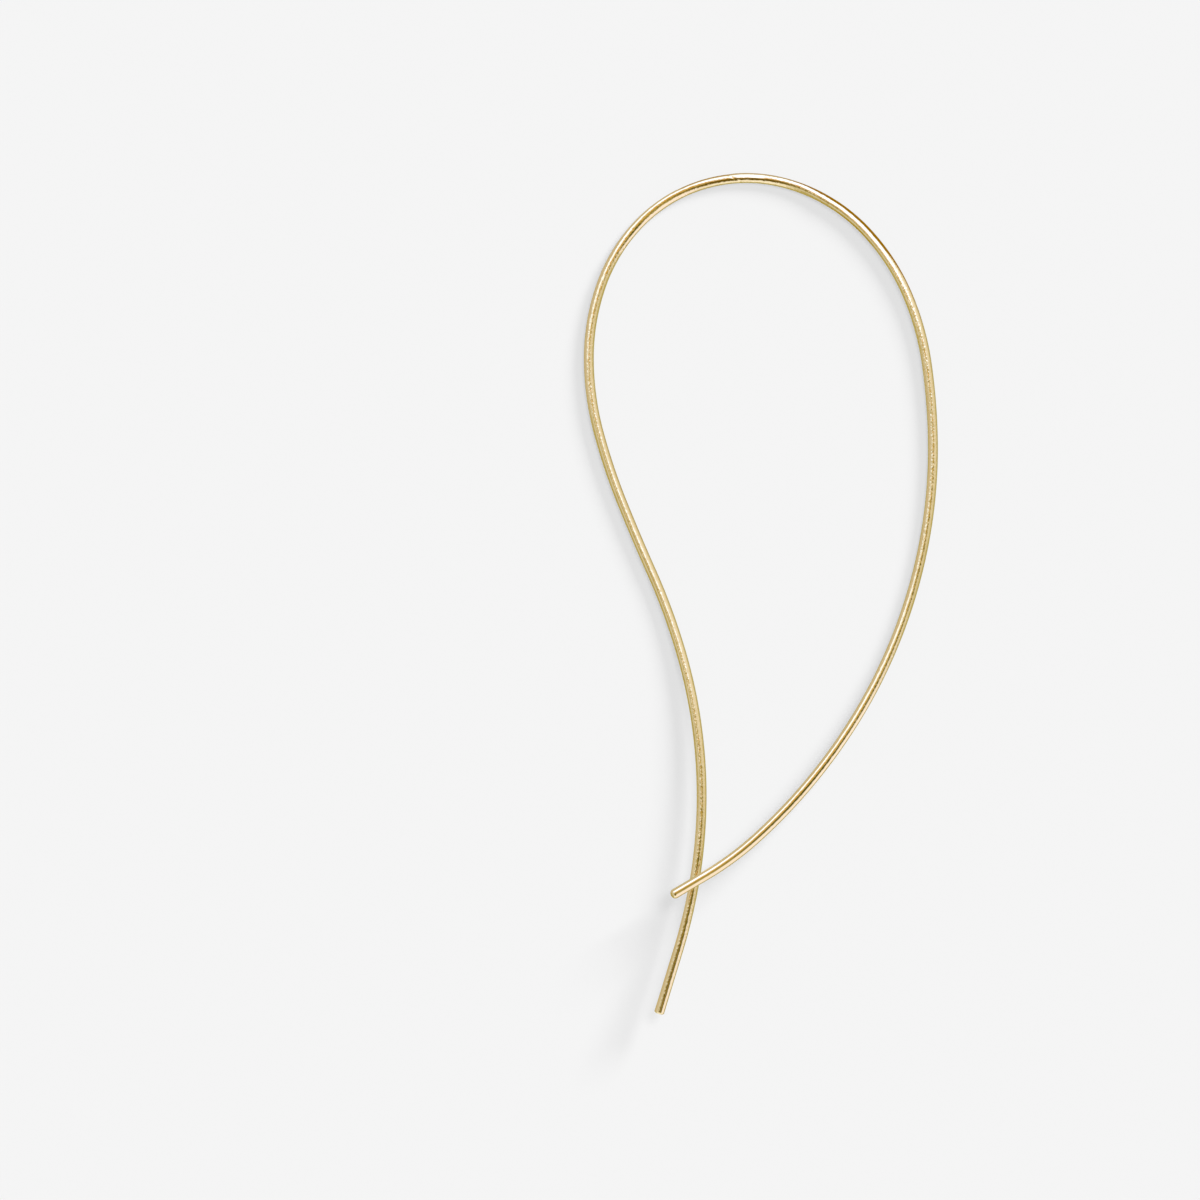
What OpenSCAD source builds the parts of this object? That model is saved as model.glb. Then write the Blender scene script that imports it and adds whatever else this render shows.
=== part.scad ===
// Long hook earring bent from one length of round wire.
// It lies on its back: X across the hoop, Y from the two ends up to the crown, Z up from the surface.
// The hoop lies flat, and both legs bow up from it, so the front leg crosses over the back one.

/* [Wire] */
// Thickness of the round wire, 0.8 being 20 gauge
wire_d = 0.8; // [0.6:0.05:1]
// Length of wire cut for one earring
wire_len = 148.5; // [120:0.5:200]

/* [Legs] */
// How steeply the two legs bow forward of the flat hoop, 1 being as worn
leg_bow = 1; // [0.8:0.1:1.4]

/* [Ends] */
// Radius that rounds off the short front end, almost into a dome
front_round = 0.35; // [0.1:0.05:0.35]
// Bevel filed round the long back end
back_bevel = 0.1; // [0.05:0.05:0.2]

/* [Hidden] */

// Columns of the bending table
RUN = 0;     // length of the run, in mm for a wire of 148.5 mm
HEADING = 1; // way the wire heads at the end of the run, in degrees round from +X towards +Y
CLIMB = 2;   // how steeply it climbs there, in degrees

// The first row is the way the wire sets off from its front end
bends = [
    [0, 30.5, -8],
    [3.25, 30.5, -8],
    [5, 42, -8],
    [12, 57.5, -6],
    [16, 79.5, 0],
    [8, 91, 0],
    [6, 98, 0],
    [6, 113.5, 0],
    [6, 133.5, 0],
    [8, 167, 0],
    [12, 225, 0],
    [6, 250.5, 0],
    [6, 270, 0],
    [6, 285, 0],
    [6, 292, 0],
    [6, 294, 0],
    [7, 286, 4],
    [10, 272, 4],
    [10, 258, 3.5],
    [4, 253, 3.5],
    [5.25, 253, 3.5]
];
last = len(bends) - 1;

wire_r = wire_d / 2;
table_len = sum([for (row = bends) row[RUN]]);

// The front end keeps a small flat in its middle, also on a thin wire
tip_flat = 0.04;
tip_round = min(front_round, wire_r - tip_flat);

// Neighbouring runs stop this far short of where they meet, and a core a hair thinner joins them
run_gap = 0.01;
hair = 0.004;
core_len = 0.1;
core_r = wire_r - hair;

// A run that turns by less than this many degrees is straight
straight_turn = 0.01;

// Slices in each run when the wire's extent is measured
line_steps = 24;

$fn = 96;

function sum(v, i = 0) = i < len(v) ? v[i] + sum(v, i + 1) : 0;
function unit(v) = v / norm(v);

// Way the wire heads at the end of run i
function way(i) =
    let (h = bends[i][HEADING], c = bends[i][CLIMB] * leg_bow)
    [cos(c) * cos(h), cos(c) * sin(h), sin(c)];

// Run i is an arc from one way to the next, or straight where they are the same
function run_len(i) = bends[i][RUN] * wire_len / table_len;
function turn(i) = acos(min(1, way(i - 1) * way(i)));
function is_straight(i) = turn(i) < straight_turn;
function bend_r(i) = run_len(i) * 180 / PI / turn(i);
function bend_axis(i) = unit(cross(way(i - 1), way(i)));
function inward(i) = cross(bend_axis(i), way(i - 1));

// Step from the start of run i to a point a share t along it
function along(i, t) =
    is_straight(i)
        ? way(i) * run_len(i) * t
        : bend_r(i) * (sin(turn(i) * t) * way(i - 1) + (1 - cos(turn(i) * t)) * inward(i));

// Way the wire heads there
function way_at(i, t) =
    is_straight(i)
        ? way(i)
        : cos(turn(i) * t) * way(i - 1) + sin(turn(i) * t) * inward(i);

// Where each run ends, counted from the front end
function ends(i = 0, p = [0, 0, 0]) =
    i > last ? [] : let (q = i == 0 ? p : p + along(i, 1)) concat([q], ends(i + 1, q));
joints = ends();

// The box that the wire fills, from slices across it all along its middle line
POINT = 0;
WAY = 1;
slices = [
    for (i = [1 : last], k = [0 : line_steps])
        let (t = k / line_steps)
        [joints[i - 1] + along(i, t), way_at(i, t)]
];
function half_width(slice, a) = wire_r * sqrt(max(0, 1 - pow(slice[WAY][a], 2)));
low = [for (a = [0 : 2]) min([for (s = slices) s[POINT][a] - half_width(s, a)])];
high = [for (a = [0 : 2]) max([for (s = slices) s[POINT][a] + half_width(s, a)])];

// Stands its children with their Z along the wire at the end of run i
module along_wire(i) {
    d = way(i);
    side = unit(cross([0, 0, 1], d));
    up = cross(d, side);
    p = joints[i];
    multmatrix([
        [side[0], up[0], d[0], p[0]],
        [side[1], up[1], d[1], p[1]],
        [side[2], up[2], d[2], p[2]]
    ])
        children();
}

// Curved run, a piece of a ring
module bent_run(i) {
    x = -inward(i);
    y = way(i - 1);
    z = bend_axis(i);
    c = joints[i - 1] + inward(i) * bend_r(i);
    gap_turn = run_gap * 180 / PI / bend_r(i);
    multmatrix([
        [x[0], y[0], z[0], c[0]],
        [x[1], y[1], z[1], c[1]],
        [x[2], y[2], z[2], c[2]]
    ])
        rotate_extrude(angle = turn(i) - 2 * gap_turn, start = gap_turn)
            translate([bend_r(i), 0])
                circle(r = wire_r);
}

// Straight run at the front, with its end rounded off
module front_tip() {
    h = run_len(1) - run_gap;
    flat = wire_r - tip_round;
    along_wire(0)
        rotate_extrude() {
            square([flat, h]);
            translate([0, tip_round]) square([wire_r, h - tip_round]);
            intersection() {
                translate([flat, tip_round]) circle(r = tip_round);
                square([wire_r, h]);
            }
        }
}

// Straight run at the back, with its end bevelled
module back_tip() {
    h = run_len(last) - run_gap - back_bevel;
    along_wire(last)
        translate([0, 0, -back_bevel]) {
            translate([0, 0, -h]) cylinder(r = wire_r, h = h);
            cylinder(r1 = wire_r, r2 = wire_r - back_bevel, h = back_bevel);
        }
}

module core(i) {
    along_wire(i) cylinder(r = core_r, h = core_len, center = true);
}

module ear_wire() {
    color("khaki")
        translate([-(low[0] + high[0]) / 2, -(low[1] + high[1]) / 2, -low[2]]) {
            front_tip();
            for (i = [2 : last - 1]) bent_run(i);
            for (i = [1 : last - 1]) core(i);
            back_tip();
        }
}

ear_wire();
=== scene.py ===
# Long hook earring of round gold wire, lying on its back on a pale table.
import math

import bpy
import numpy as np
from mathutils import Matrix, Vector


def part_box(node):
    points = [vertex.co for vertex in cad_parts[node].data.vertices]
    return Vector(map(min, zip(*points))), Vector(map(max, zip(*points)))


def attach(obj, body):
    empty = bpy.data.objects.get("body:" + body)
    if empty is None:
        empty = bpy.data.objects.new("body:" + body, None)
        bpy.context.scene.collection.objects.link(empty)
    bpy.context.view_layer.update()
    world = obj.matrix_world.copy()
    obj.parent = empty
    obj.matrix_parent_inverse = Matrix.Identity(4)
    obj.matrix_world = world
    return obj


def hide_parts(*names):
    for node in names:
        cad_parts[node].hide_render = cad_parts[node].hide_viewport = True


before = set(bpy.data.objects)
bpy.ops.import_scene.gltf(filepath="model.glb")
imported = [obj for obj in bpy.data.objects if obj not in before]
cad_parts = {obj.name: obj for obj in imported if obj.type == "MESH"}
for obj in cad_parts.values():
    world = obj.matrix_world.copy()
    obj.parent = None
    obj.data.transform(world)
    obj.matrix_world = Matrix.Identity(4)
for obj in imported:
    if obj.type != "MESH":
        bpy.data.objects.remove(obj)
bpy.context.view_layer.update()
cadLow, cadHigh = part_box("ear_wire")
mm = 0.001
print("frame loaded, the wire's box is", [round(x / mm, 2) for x in cadHigh - cadLow], "mm")


# Camera, straight above the table. The earring lies right of the picture's middle.
camera = {
    "lens": 800.0,              # mm, long, so that the raised legs don't look larger
    "sensor": 36.0,             # mm
    "viewWidth": 95.84 * mm,    # what the picture takes in on the table
    "aimX": -12.85 * mm,
    "aimY": -0.48 * mm,
    "clipSpan": 10,             # it sees from this many times nearer than the table to as many times farther
}


def makeCamera():
    data = bpy.data.cameras.new("topCamera")
    data.lens = camera["lens"]
    data.sensor_width = camera["sensor"]
    height = camera["viewWidth"] * camera["lens"] / camera["sensor"]
    data.clip_start = height / camera["clipSpan"]
    data.clip_end = height * camera["clipSpan"]
    cam = bpy.data.objects.new("topCamera", data)
    cam.location = (camera["aimX"], camera["aimY"], height)
    bpy.context.scene.collection.objects.link(cam)
    bpy.context.scene.camera = cam
    print("camera set", round(height, 2), "m above the table")


# The wire as it is bent, in mm and degrees. Each run ends on its heading, counted round from +X,
# and on its climb.
wire = {
    "thickness": 0.8,
    "cutLength": 148.5,
    "frontRound": 0.35,
    "backBevel": 0.1,
    "setOff": (30.5, -8),       # heading and climb at the front end
    "bends": [
        # run, heading, climb
        (3.25, 30.5, -8),
        (5, 42, -8),
        (12, 57.5, -6),
        (16, 79.5, 0),
        (8, 91, 0),
        (6, 98, 0),
        (6, 113.5, 0),
        (6, 133.5, 0),
        (8, 167, 0),
        (12, 225, 0),
        (6, 250.5, 0),
        (6, 270, 0),
        (6, 285, 0),
        (6, 292, 0),
        (6, 294, 0),
        (7, 286, 4),
        (10, 272, 4),
        (10, 258, 3.5),
        (4, 253, 3.5),
        (5.25, 253, 3.5),
    ],
    "straightTurn": 0.006,      # degrees, a run that turns by less is straight
    "sides": 40,                # round the wire
    "ringStep": 0.084,          # mm between rings
    "domeRings": 8,             # on the rounded front
    "frontFace": (0.34, 0.67),  # rings on the small flat at the front, as shares of its radius
}


def wayOf(heading, climb):
    heading, climb = math.radians(heading), math.radians(climb)
    level = math.cos(climb)
    return np.array([level * math.cos(heading), level * math.sin(heading), math.sin(climb)])


def bentRoute(distances):
    # points and ways of the middle line at these distances from the front end
    points, ways = [], []
    start, way, done = np.zeros(3), wayOf(*wire["setOff"]), 0.0
    share = wire["cutLength"] / sum(run for run, heading, climb in wire["bends"])
    for row, (run, heading, climb) in enumerate(wire["bends"]):
        length = run * share
        goal = wayOf(heading, climb)
        turn = math.acos(min(1.0, float(way @ goal)))
        isLast = row == len(wire["bends"]) - 1
        here = distances[(distances >= done) & ((distances < done + length) | isLast)] - done
        if turn < math.radians(wire["straightTurn"]):
            points.append(start + here[:, None] * way)
            ways.append(np.repeat(way[None], len(here), 0))
            start = start + way * length
        else:
            axis = np.cross(way, goal) / math.sin(turn)
            inward = np.cross(axis, way)
            bendRadius = length / turn
            angle = here[:, None] / bendRadius
            points.append(start + bendRadius * (np.sin(angle) * way + (1 - np.cos(angle)) * inward))
            ways.append(np.cos(angle) * way + np.sin(angle) * inward)
            start = start + bendRadius * (math.sin(turn) * way + (1 - math.cos(turn)) * inward)
        way, done = goal, done + length
    return np.concatenate(points), np.concatenate(ways)


def seatInFrame(points, ways):
    # moves the route so that its box stands on the origin with its middle, as the frame's does
    reach = wire["thickness"] / 2 * np.sqrt(np.clip(1 - ways**2, 0, 1))
    low, high = (points - reach).min(0), (points + reach).max(0)
    shift = -(low + high) / 2
    shift[2] = -low[2]
    print("route seated, its box is", np.round(high - low, 2), "mm")
    return points + shift


def easedAlong(distances, stations):
    # eases from one station's value to the next, each given as distance from the front end and value
    value = np.full(len(distances), float(stations[0][1]))
    for (start, before), (end, after) in zip(stations, stations[1:]):
        share = np.clip((distances - start) / (end - start), 0, 1)
        value += (after - before) * share * share * (3 - 2 * share)
    return value


# The relief that drawing, bending and polishing leave on the wire, in mm
relief = {
    "seed": 7,
    "ripple": 0.0018,           # soft uneven skin
    "rippleSize": (0.12, 0.08), # along and round the wire
    "patchSize": (6.0, 0.6),    # the ripple comes and goes in patches
    "patchMiddle": 0.75,
    "patchSpread": 0.3,
    "patchLimits": (0.2, 1.5),
    "drawLine": 0.0014,         # long lines from the drawing plate
    "drawLineSize": (3.0, 0.05),
    "polishedOff": 0.006,       # all round, so that no bump stands proud of the true wire
    "pitDepth": 0.006,
    "pitCount": 420,
    "pitSize": (0.05, 0.09),
    "pitReach": 4,              # sizes from its middle at which a pit ends
    "fade": 1.2,                # from either end over which the relief dies out
}


# How worn the skin is at each distance from the front end. The ripple and the fine grain both follow it.
wear = [
    (0, 0.1), (8, 0.15), (16, 0.3), (26, 0.4), (34, 0.7), (44, 1.0), (56, 0.9), (60, 0.3), (68, 0.4),
    (84, 0.4), (88, 0.9), (96, 0.8), (102, 0.3), (116, 0.3), (122, 0.6), (132, 0.7), (142, 0.4),
    (148.5, 0.3),
]


def softNoise(draw, rings, sides, size):
    # random heights of unit spread, smooth over size, closed round the wire
    sideStep = math.pi * wire["thickness"] / sides
    along = np.fft.fftfreq(rings, wire["ringStep"])[:, None]
    around = np.fft.fftfreq(sides, sideStep)[None, :]
    smoothing = np.exp(-2 * (math.pi**2) * ((along * size[0]) ** 2 + (around * size[1]) ** 2))
    field = np.fft.ifft2(np.fft.fft2(draw.standard_normal((rings, sides))) * smoothing).real
    return field / field.std()


def reliefOf(distances, angles):
    draw = np.random.default_rng(relief["seed"])
    rings, sides = len(distances), len(angles)
    ripple = softNoise(draw, rings, sides, relief["rippleSize"])
    lines = softNoise(draw, rings, sides, relief["drawLineSize"])
    patches = softNoise(draw, rings, sides, relief["patchSize"])
    patches = np.clip(relief["patchMiddle"] + relief["patchSpread"] * patches, *relief["patchLimits"])
    height = relief["ripple"] * easedAlong(distances, wear)[:, None] * ripple * patches
    height += relief["drawLine"] * lines - relief["polishedOff"]
    arc = angles * wire["thickness"] / 2
    around = math.pi * wire["thickness"]
    for pit in range(relief["pitCount"]):
        at = draw.uniform(0, wire["cutLength"])
        side = draw.uniform(0, around)
        size = draw.uniform(*relief["pitSize"])
        near = np.abs(distances - at) < relief["pitReach"] * size
        gap = np.abs((arc - side + around / 2) % around - around / 2)
        bowl = np.exp(-(((distances[near, None] - at) / size) ** 2 + (gap[None, :] / size) ** 2))
        height[near] -= relief["pitDepth"] * bowl
    fromEnd = np.minimum(distances, wire["cutLength"] - distances)
    return height * np.clip(fromEnd / relief["fade"], 0, 1)[:, None]


# Bending by hand left the wire a little out of round. These are shares of its radius at distances from
# the front end. By slant the section sits lower on the inside of the hoop and higher on the outside.
# By flat its top is pressed down, or stands up where that is negative.
outOfRound = {
    "slant": [
        (0, 0), (8, -0.05), (30, 0.1), (45, 0.05), (60, -0.2), (66, -0.1), (69, 0.25), (75, 0.15),
        (79, 0.25), (88, 0), (100, 0.1), (112, 0.2), (122, 0.15), (132, 0), (140, 0.15), (148.5, 0),
    ],
    "flat": [
        (0, 0), (20, 0), (36, -0.2), (66, -0.2), (70, 0.05), (82, 0.2), (88, -0.2), (112, 0), (148.5, 0),
    ],
}


def pressed(distances, left, up):
    # the section out of round, without moving its lowest point
    slant = easedAlong(distances, outOfRound["slant"])[:, None]
    flat = easedAlong(distances, outOfRound["flat"])[:, None]
    return np.where(up > 0, up * (1 - flat), up * np.sqrt(1 - slant**2)) - left * slant


# The mark at the top of the arch: two narrow flats, with a fine scratch slantwise over the wire where
# they meet
archMark = {
    "flats": [
        # from, to, how softly it ends, degrees from the top towards the outside, depth in mm
        (71.4, 73.9, 0.35, 22, 0.022),
        (73.9, 78.6, 0.6, 78, 0.050),
    ],
    "leastFacing": 0.3,         # keeps a flat from reaching round the wire
    "scratchInside": 73.3,      # where it crosses the inner and the outer edge
    "scratchOutside": 74.5,
    "scratchDepth": 0.035,
    "scratchWidth": 0.09,
}


def archMarkOf(distances, angles):
    radius = wire["thickness"] / 2
    height = np.zeros((len(distances), len(angles)))
    for start, end, blend, side, depth in archMark["flats"]:
        facing = np.maximum(np.cos(angles - math.radians(side)), archMark["leastFacing"])
        flat = np.minimum(0, (radius - depth) / facing - radius)
        rise = np.clip((distances - start) / blend, 0, 1)
        fall = np.clip((end - distances) / blend, 0, 1)
        height += flat[None, :] * np.sqrt(np.minimum(rise, fall))[:, None]
    middle = (archMark["scratchInside"] + archMark["scratchOutside"]) / 2
    swing = (archMark["scratchOutside"] - archMark["scratchInside"]) / 2
    line = middle + swing * np.sin(angles)
    away = (distances[:, None] - line[None, :]) / archMark["scratchWidth"]
    onTop = np.sqrt(np.clip(np.cos(angles), 0, 1))
    return height - archMark["scratchDepth"] * onTop[None, :] * np.exp(-(away**2))


# The back end as the nippers left it: two slopes that meet in a ridge, inside the bevelled edge
nippedEnd = {
    "slope": 0.8,
    "ridgeTurn": 60,            # degrees, the ridge's way across the end
    "rings": 9,
}


def wireRings():
    # distance from the front end and radius of each ring: front face, rounded front, body, back face
    radius = wire["thickness"] / 2
    length = wire["cutLength"]
    frontRound, backBevel = wire["frontRound"], wire["backBevel"]
    inFace = np.array(wire["frontFace"])
    dome = np.linspace(0, math.pi / 2, wire["domeRings"] + 1)[:-1]
    domeAt = frontRound * (1 - np.cos(dome))
    domeRadius = radius - frontRound + frontRound * np.sin(dome)
    bodySteps = int((length - frontRound - backBevel) / wire["ringStep"])
    body = np.linspace(frontRound, length - backBevel, bodySteps)
    bodyRadius = np.full(len(body), radius)
    endAt = np.full(nippedEnd["rings"], length)
    endRadius = np.linspace(1, 0, nippedEnd["rings"] + 1)[:-1] * (radius - backBevel)
    at = np.concatenate([inFace * 0, domeAt, body, endAt])
    wide = np.concatenate([inFace * domeRadius[0], domeRadius, bodyRadius, endRadius])
    first = len(inFace) + len(dome)
    return at, wide, slice(first, first + len(body))


def ringFaces(count, frontTip, backTip):
    # four-sided faces between neighbouring rings, and a fan round either tip
    ring = np.arange(wire["sides"])
    nextRing = np.roll(ring, -1)
    faces = []
    for i in range(count - 1):
        a, b = i * len(ring), (i + 1) * len(ring)
        faces += np.stack([a + ring, a + nextRing, b + nextRing, b + ring], -1).tolist()
    last = (count - 1) * len(ring)
    faces += [[frontTip, int(n), int(r)] for r, n in zip(ring, nextRing)]
    faces += [[backTip, int(last + r), int(last + n)] for r, n in zip(ring, nextRing)]
    return faces


def keepCrisp(mesh, rings):
    # the edges round these rings stay sharp
    sides = wire["sides"]
    crisp = {frozenset((r * sides + i, r * sides + (i + 1) % sides)) for r in rings for i in range(sides)}
    flags = [frozenset(edge.vertices) in crisp for edge in mesh.edges]
    mesh.attributes.new("sharp_edge", "BOOLEAN", "EDGE").data.foreach_set("value", flags)


def makeWire():
    length = wire["cutLength"]
    at, wide, body = wireRings()
    angles = np.arange(wire["sides"]) * 2 * math.pi / wire["sides"]
    points, ways = bentRoute(at)
    tips, tipWays = bentRoute(np.array([0.0, length]))
    seated = seatInFrame(np.concatenate([points, tips]), np.concatenate([ways, tipWays]))
    points, tips = seated[:-2], seated[-2:]

    side = np.cross([0, 0, 1], ways)
    side /= np.linalg.norm(side, axis=1)[:, None]
    up = np.cross(ways, side)
    height = np.zeros((len(at), len(angles)))
    height[body] = reliefOf(at[body], angles) + archMarkOf(at[body], angles)

    reach = wide[:, None] + height
    acrossSide = -np.sin(angles)[None, :] * reach
    acrossUp = pressed(at, acrossSide, np.cos(angles)[None, :] * reach)
    ringPoints = points[:, None, :] + acrossSide[..., None] * side[:, None, :]
    ringPoints += acrossUp[..., None] * up[:, None, :]
    ridge = math.radians(nippedEnd["ridgeTurn"])
    cut = np.abs(acrossSide * math.cos(ridge) + acrossUp * math.sin(ridge)) * nippedEnd["slope"]
    atEnd = (at == length)[:, None]
    ringPoints -= (cut * atEnd)[..., None] * ways[:, None, :]

    # the same rings on a straight wire, in mm, which the finish is laid out on
    straight = np.stack([np.broadcast_to(at[:, None], reach.shape), acrossSide, acrossUp], -1)
    layout = np.concatenate([straight.reshape(-1, 3), [[0, 0, 0], [length, 0, 0]]])
    vertices = np.concatenate([ringPoints.reshape(-1, 3), tips]) * mm
    faces = ringFaces(len(at), len(vertices) - 2, len(vertices) - 1)

    mesh = bpy.data.meshes.new("hookWire")
    mesh.from_pydata(vertices.tolist(), [], faces)
    mesh.update()
    spot = mesh.attributes.new("straightWire", "FLOAT_VECTOR", "POINT")
    spot.data.foreach_set("vector", layout.astype(np.float32).ravel())
    worn = mesh.attributes.new("wear", "FLOAT", "POINT")
    worn.data.foreach_set("value", easedAlong(layout[:, 0], wear).astype(np.float32))
    mesh.shade_smooth()
    keepCrisp(mesh, (body.stop - 1, body.stop))    # the back end's bevel, where it starts and where it ends
    piece = bpy.data.objects.new("hookWire", mesh)
    bpy.context.scene.collection.objects.link(piece)
    print("wire made,", len(at), "rings,", len(faces), "faces")
    return piece


# Polished pale yellow gold, with the fine marks of the drawing plate and a little uneven colour
gold = {
    "light": (0.93, 0.75, 0.45),
    "deep": (0.87, 0.69, 0.385),
    "driftShare": 0.6,          # how far the slow drift goes from light to deep
    "speckShare": 0.5,          # and how far the specks go
    "roughness": (0.02, 0.07),
    "lineHeight": 0.0006 * mm,
    "grainHeight": 0.06 * mm,
    "grainStrength": 0.5,       # where the skin is fully worn
    # changes in each mm along the wire and across it, detail, roughness
    "drift": (0.25, 1.6, 2, 0.5),
    "specks": (5.5, 8.0, 3, 0.65),
    "lines": (0.5, 22.0, 3, 0.6),
    "grain": (4.5, 7.0, 1, 0.5),
    # the part of each noise that counts
    "driftRange": (0.35, 0.65),
    "speckRange": (0.55, 0.72),
    "lineRange": (0.3, 0.7),
}


def goldFinish():
    material = bpy.data.materials.new("paleGold")
    material.use_nodes = True
    nodes, links = material.node_tree.nodes, material.node_tree.links
    shader = nodes["Principled BSDF"]
    shader.inputs["Metallic"].default_value = 1.0

    def attribute(name):
        made = nodes.new("ShaderNodeAttribute")
        made.attribute_name = name
        return made

    straightWire = attribute("straightWire").outputs["Vector"]

    def noise(along, across, detail, roughness):
        stretch = nodes.new("ShaderNodeMapping")
        stretch.inputs["Scale"].default_value = (along, across, across)
        links.new(straightWire, stretch.inputs["Vector"])
        made = nodes.new("ShaderNodeTexNoise")
        made.inputs["Scale"].default_value = 1.0
        made.inputs["Detail"].default_value = detail
        made.inputs["Roughness"].default_value = roughness
        links.new(stretch.outputs["Vector"], made.inputs["Vector"])
        return made.outputs["Fac"]

    def ranged(value, fromRange, toRange):
        made = nodes.new("ShaderNodeMapRange")
        made.interpolation_type = "SMOOTHSTEP"
        made.inputs["From Min"].default_value = fromRange[0]
        made.inputs["From Max"].default_value = fromRange[1]
        made.inputs["To Min"].default_value = toRange[0]
        made.inputs["To Max"].default_value = toRange[1]
        links.new(value, made.inputs["Value"])
        return made.outputs["Result"]

    def bump(height, distance):
        made = nodes.new("ShaderNodeBump")
        made.inputs["Distance"].default_value = distance
        links.new(height, made.inputs["Height"])
        return made

    # colour drifts slowly along the wire, with small duller specks
    tone = nodes.new("ShaderNodeMath")
    tone.operation = "MULTIPLY_ADD"
    links.new(ranged(noise(*gold["specks"]), gold["speckRange"], (0, 1)), tone.inputs[0])
    tone.inputs[1].default_value = gold["speckShare"]
    links.new(ranged(noise(*gold["drift"]), gold["driftRange"], (0, gold["driftShare"])), tone.inputs[2])
    mix = nodes.new("ShaderNodeMix")
    mix.data_type = "RGBA"
    mix.inputs["A"].default_value = (*gold["light"], 1)
    mix.inputs["B"].default_value = (*gold["deep"], 1)
    links.new(tone.outputs["Value"], mix.inputs["Factor"])
    links.new(mix.outputs["Result"], shader.inputs["Base Color"])

    # fine lines along the wire, and a finer grain between them where the skin is worn
    lines = noise(*gold["lines"])
    links.new(ranged(lines, gold["lineRange"], gold["roughness"]), shader.inputs["Roughness"])
    lineBump = bump(lines, gold["lineHeight"])
    grainBump = bump(noise(*gold["grain"]), gold["grainHeight"])
    strength = nodes.new("ShaderNodeMath")
    strength.operation = "MULTIPLY"
    strength.inputs[1].default_value = gold["grainStrength"]
    links.new(attribute("wear").outputs["Fac"], strength.inputs[0])
    links.new(strength.outputs["Value"], grainBump.inputs["Strength"])
    links.new(lineBump.outputs["Normal"], grainBump.inputs["Normal"])
    links.new(grainBump.outputs["Normal"], shader.inputs["Normal"])
    print("gold mixed")
    return material


# The table is plain and pale. It doesn't show in the metal, which reflects only the tent.
table = {
    "half": 3.0,                # m, far past every view
    "colour": (0.86, 0.86, 0.86),
}


def makeTable():
    half = table["half"]
    mesh = bpy.data.meshes.new("table")
    corners = [(-half, -half, 0), (half, -half, 0), (half, half, 0), (-half, half, 0)]
    mesh.from_pydata(corners, [], [(0, 1, 2, 3)])
    top = bpy.data.objects.new("table", mesh)
    bpy.context.scene.collection.objects.link(top)
    material = bpy.data.materials.new("palePaint")
    material.use_nodes = True
    shader = material.node_tree.nodes["Principled BSDF"]
    shader.inputs["Base Color"].default_value = (*table["colour"], 1)
    shader.inputs["Roughness"].default_value = 1.0
    shader.inputs["Specular IOR Level"].default_value = 0.0
    mesh.materials.append(material)
    top.visible_glossy = False
    print("table made")


def towards(azimuth, lean):
    # azimuth is counted round from +X, and lean is down from straight above, both in degrees
    azimuth, lean = math.radians(azimuth), math.radians(lean)
    level = math.sin(lean)
    return Vector((math.cos(azimuth) * level, math.sin(azimuth) * level, math.cos(lean)))


# The metal reflects a small tent with paper walls, lit panels and the dark camera over it. The later
# panels hang in front of the earlier ones.
tent = {
    "radius": 150 * mm,
    "roundness": 6,             # times that the sphere's faces are divided
    "walls": (0.5, 0.47, 0.2),
    # azimuth, lean, turn, half width, half height, soft edge, colour
    "panels": {
        "lowWall": (220, 142, 0, 7, 30, 2, (0.4, 0.3, 0)),
        "lowPaper": (270, 78, 0, 22, 32, 10, (1.1, 1.15, 1.25)),
        "leftWall": (220, 6, 0, 17, 6, 2, (1.25, 1.25, 1.45)),
        "leftFar": (195, 57, 0, 40, 20, 5, (0.7, 0.7, 0.65)),
        "rightWall": (45, 65, 0, 50, 32, 50, (1, 1, 1.05)),
        "warmSheet": (315, 77, 0, 24, 34, 7, (1.1, 1.1, 1.35)),
        "farGap": (70, 113, 0, 30, 48, 2, (0.35, 0.2, 0)),
        "overhead": (342, 12, 0, 4, 13, 8, (1.2, 0.85, 0.2)),
        "amberRim": (86, 17, 0, 11, 7, 2, (0.75, 0.4, 0)),
        "sideTail": (146, 46, 0, 14, 22, 8, (1.15, 1.35, 1.85)),
        "softBox": (84, 54, 19, 41, 31, 8, (1.35, 1.7, 2.65)),
        "farSheet": (130, 100, 0, 53, 37, 7, (0.65, 0.6, 0.5)),
        "cameraShade": (270, 28, 0, 15, 29, 10, (0.15, 0.1, 0)),
        "cameraArm": (338, 31, 18, 3, 19, 10, (0.1, 0.1, 0)),
    },
}


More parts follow.
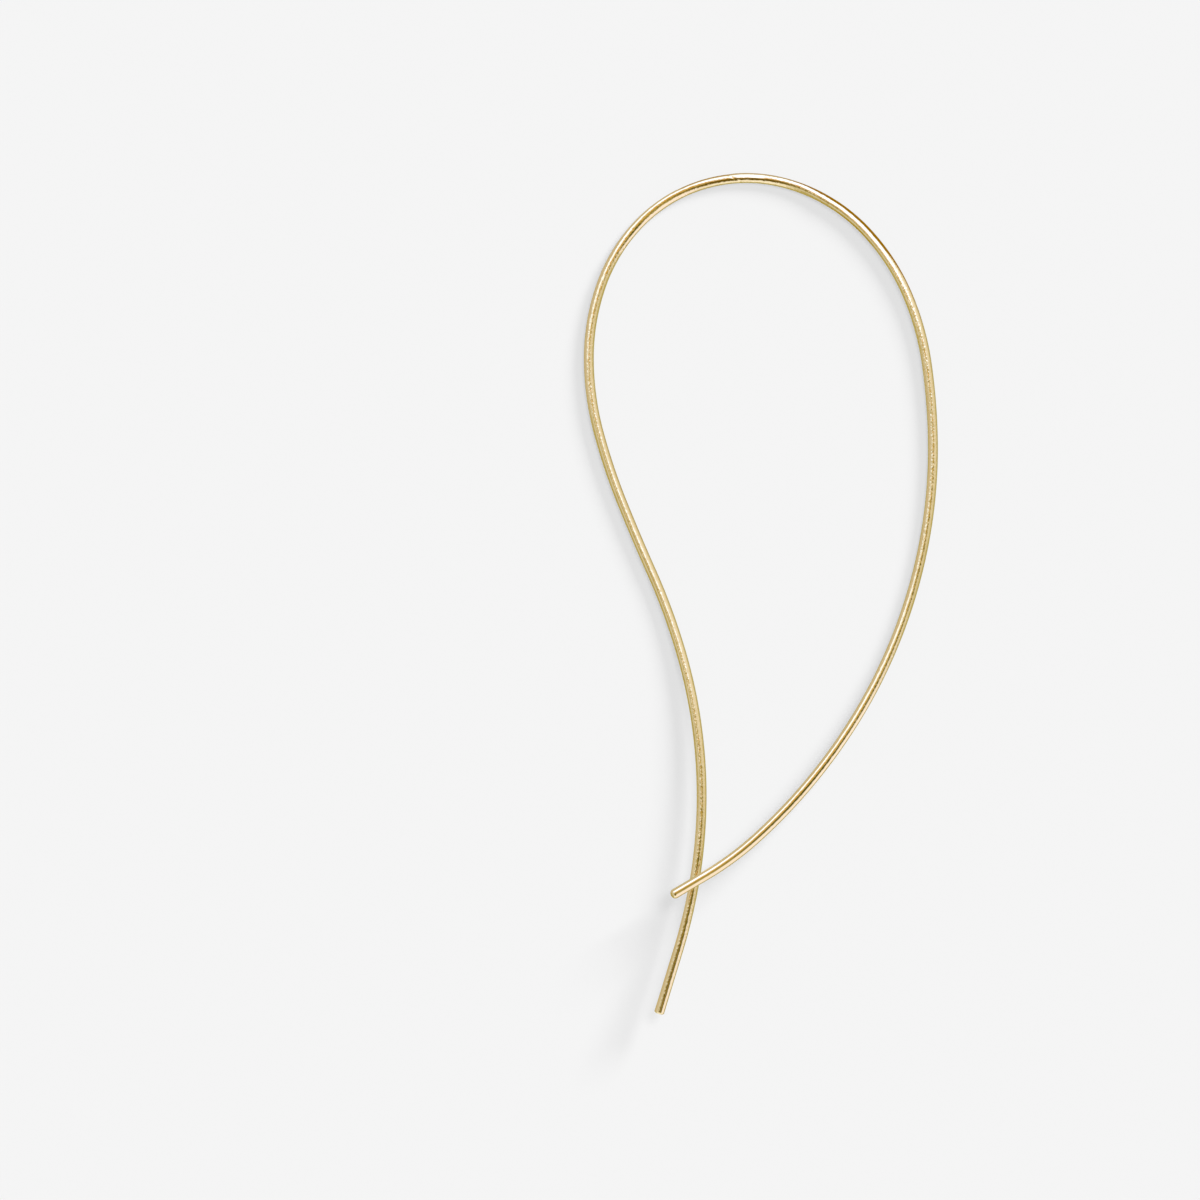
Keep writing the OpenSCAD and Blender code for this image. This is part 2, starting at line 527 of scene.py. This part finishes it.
def tentPaper():
    material = bpy.data.materials.new("tentPaper")
    material.use_nodes = True
    material.cycles.emission_sampling = "NONE"
    nodes, links = material.node_tree.nodes, material.node_tree.links
    nodes.clear()
    straight = nodes.new("ShaderNodeVectorMath")
    straight.operation = "NORMALIZE"
    links.new(nodes.new("ShaderNodeTexCoord").outputs["Object"], straight.inputs[0])

    def join(operation, *values):
        made = nodes.new("ShaderNodeMath")
        made.operation = operation
        for socket, value in zip(made.inputs, values):
            if isinstance(value, (int, float)):
                socket.default_value = value
            else:
                links.new(value, socket)
        return made.outputs["Value"]

    def lookAlong(axis):
        made = nodes.new("ShaderNodeVectorMath")
        made.operation = "DOT_PRODUCT"
        made.inputs[1].default_value = axis
        links.new(straight.outputs["Vector"], made.inputs[0])
        return made.outputs["Value"]

    def within(value, half, soft):
        made = nodes.new("ShaderNodeMapRange")
        made.interpolation_type = "SMOOTHSTEP"
        made.inputs["From Min"].default_value = half + soft
        made.inputs["From Max"].default_value = max(0.0, half - soft)
        links.new(value, made.inputs["Value"])
        return made.outputs["Result"]

    def panelMask(azimuth, lean, turn, halfWidth, halfHeight, soft):
        right, top = towards(azimuth - 90, 90), towards(azimuth, lean - 90)
        turn, soft = math.radians(turn), math.radians(soft)
        depth = lookAlong(towards(azimuth, lean))
        across = lookAlong(right * math.cos(turn) + top * math.sin(turn))
        upward = lookAlong(top * math.cos(turn) - right * math.sin(turn))
        wide = within(join("ABSOLUTE", join("ARCTAN2", across, depth)), math.radians(halfWidth), soft)
        high = within(join("ABSOLUTE", join("ARCTAN2", upward, depth)), math.radians(halfHeight), soft)
        return join("MULTIPLY", wide, high)

    seen = nodes.new("ShaderNodeRGB").outputs["Color"]
    seen.default_value = (*tent["walls"], 1)
    for name, (*place, colour) in tent["panels"].items():
        mix = nodes.new("ShaderNodeMix")
        mix.data_type = "RGBA"
        mix.label = name
        mix.inputs["B"].default_value = (*colour, 1)
        links.new(panelMask(*place), mix.inputs["Factor"])
        links.new(seen, mix.inputs["A"])
        seen = mix.outputs["Result"]
    # it goes dark after the first diffuse bounce, so the metal throws none of its light on the table
    bounces = nodes.new("ShaderNodeLightPath").outputs["Diffuse Depth"]
    glow = nodes.new("ShaderNodeEmission")
    links.new(seen, glow.inputs["Color"])
    links.new(join("LESS_THAN", bounces, 1), glow.inputs["Strength"])
    output = nodes.new("ShaderNodeOutputMaterial")
    links.new(glow.outputs["Emission"], output.inputs["Surface"])
    return material


def makeTent():
    bpy.ops.mesh.primitive_ico_sphere_add(subdivisions=tent["roundness"], radius=tent["radius"])
    dome = bpy.context.object
    dome.name = "tent"
    for ray in ("camera", "diffuse", "transmission", "volume_scatter", "shadow"):
        setattr(dome, "visible_" + ray, False)
    dome.data.materials.append(tentPaper())
    print("tent made,", len(tent["panels"]), "panels")


# Behind everything the camera sees pale paper, and the table gets a little even light
room = {
    "paper": 0.913,
    "light": 0.02,
}


def makeRoom():
    world = bpy.data.worlds.new("room")
    bpy.context.scene.world = world
    world.use_nodes = True
    nodes, links = world.node_tree.nodes, world.node_tree.links
    nodes.clear()

    def shine(strength):
        made = nodes.new("ShaderNodeBackground")
        made.inputs["Color"].default_value = (1, 1, 1, 1)
        made.inputs["Strength"].default_value = strength
        return made.outputs["Background"]

    choose = nodes.new("ShaderNodeMixShader")
    links.new(nodes.new("ShaderNodeLightPath").outputs["Is Camera Ray"], choose.inputs["Fac"])
    links.new(shine(room["light"]), choose.inputs[1])
    links.new(shine(room["paper"]), choose.inputs[2])
    output = nodes.new("ShaderNodeOutputWorld")
    links.new(choose.outputs["Shader"], output.inputs["Surface"])
    print("room made")


# Soft lamps from the upper right throw the shadow to the lower left: the low one that of the hoop, the
# high one that of the raised legs. The last one only lights the table. None shows in the metal.
lamps = {
    # azimuth, lean, breadth in degrees, strength, throws a shadow
    "lowLamp": (44, 64, 21, 1.33, True),
    "highLamp": (44, 20, 20, 0.44, True),
    "fillLamp": (44, 0, 10, 2.27, False),
}


def makeLamps():
    for name, (azimuth, lean, breadth, strength, shadow) in lamps.items():
        data = bpy.data.lights.new(name, "SUN")
        data.energy = strength
        data.angle = math.radians(breadth)
        data.use_shadow = shadow
        lamp = bpy.data.objects.new(name, data)
        lamp.location = towards(azimuth, lean)
        lamp.rotation_mode = "QUATERNION"
        lamp.rotation_quaternion = lamp.location.to_track_quat("Z", "Y")
        lamp.visible_glossy = False
        bpy.context.scene.collection.objects.link(lamp)
    print("lamps lit,", len(lamps))


makeCamera()
hookWire = makeWire()
hookWire.data.materials.append(goldFinish())
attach(hookWire, "root")
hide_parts("ear_wire")
makeTable()
makeTent()
makeRoom()
makeLamps()

view = bpy.context.scene.view_settings
view.view_transform = "Standard"
view.look = "None"

print("scene done")
